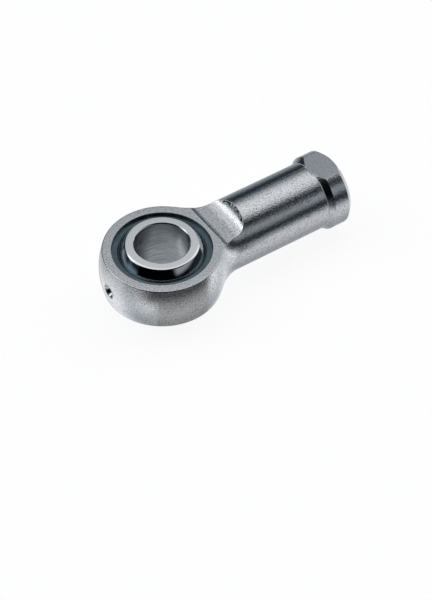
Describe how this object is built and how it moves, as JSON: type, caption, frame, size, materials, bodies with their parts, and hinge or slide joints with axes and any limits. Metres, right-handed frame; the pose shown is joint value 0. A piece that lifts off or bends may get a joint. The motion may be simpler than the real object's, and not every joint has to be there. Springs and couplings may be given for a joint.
{
  "type": "rod end bearing",
  "caption": "Female threaded rod end whose eye holds a steel spherical plain bearing, so that a rod can swing and tilt on a cross pin.",
  "frame": {"origin": "midway along the rod end's length, where the thread's axis meets the eye's mid-plane; the ball's centre is 25.9 mm from it along -X", "axes": "+X along the shank to the threaded end, +Z along the pin's bore, so the rod end lies on its side"},
  "size_m": [0.0977, 0.046, 0.026],
  "materials": {
    "blasted_steel": "fine blasted forged steel, satin, with machined faces",
    "blued_steel": "hardened race, dark blue-grey, smooth satin",
    "ground_steel": "ball polished bright, faces ground, bore with fine turning rings",
    "plated_steel": "bright turned",
    "polished_steel": "polished",
    "spring_steel": "drawn wire"
  },
  "bodies": {
    "housing": {"rod_end_body": "blasted_steel", "outer_ring": "blued_steel", "nipple_body": "plated_steel", "nipple_spring": "spring_steel"},
    "ball": {"inner_ring": "ground_steel"},
    "check_ball": {"nipple_check_ball": "polished_steel"}
  },
  "joints": [
    {"name": "ball_tilt", "type": "hinge", "parent": "housing", "child": "ball", "pos_m": [-0.0259, 0, 0], "axis": [1, 0, 0], "range_deg": [-11, 11]},
    {"name": "check_ball_slide", "type": "slide", "parent": "housing", "child": "check_ball", "axis": [1, 0, 0], "range_m": [0, 0.0003], "stiffness_N_per_m": 10, "springref_m": -0.0002, "deforming": ["nipple_spring"]}
  ]
}
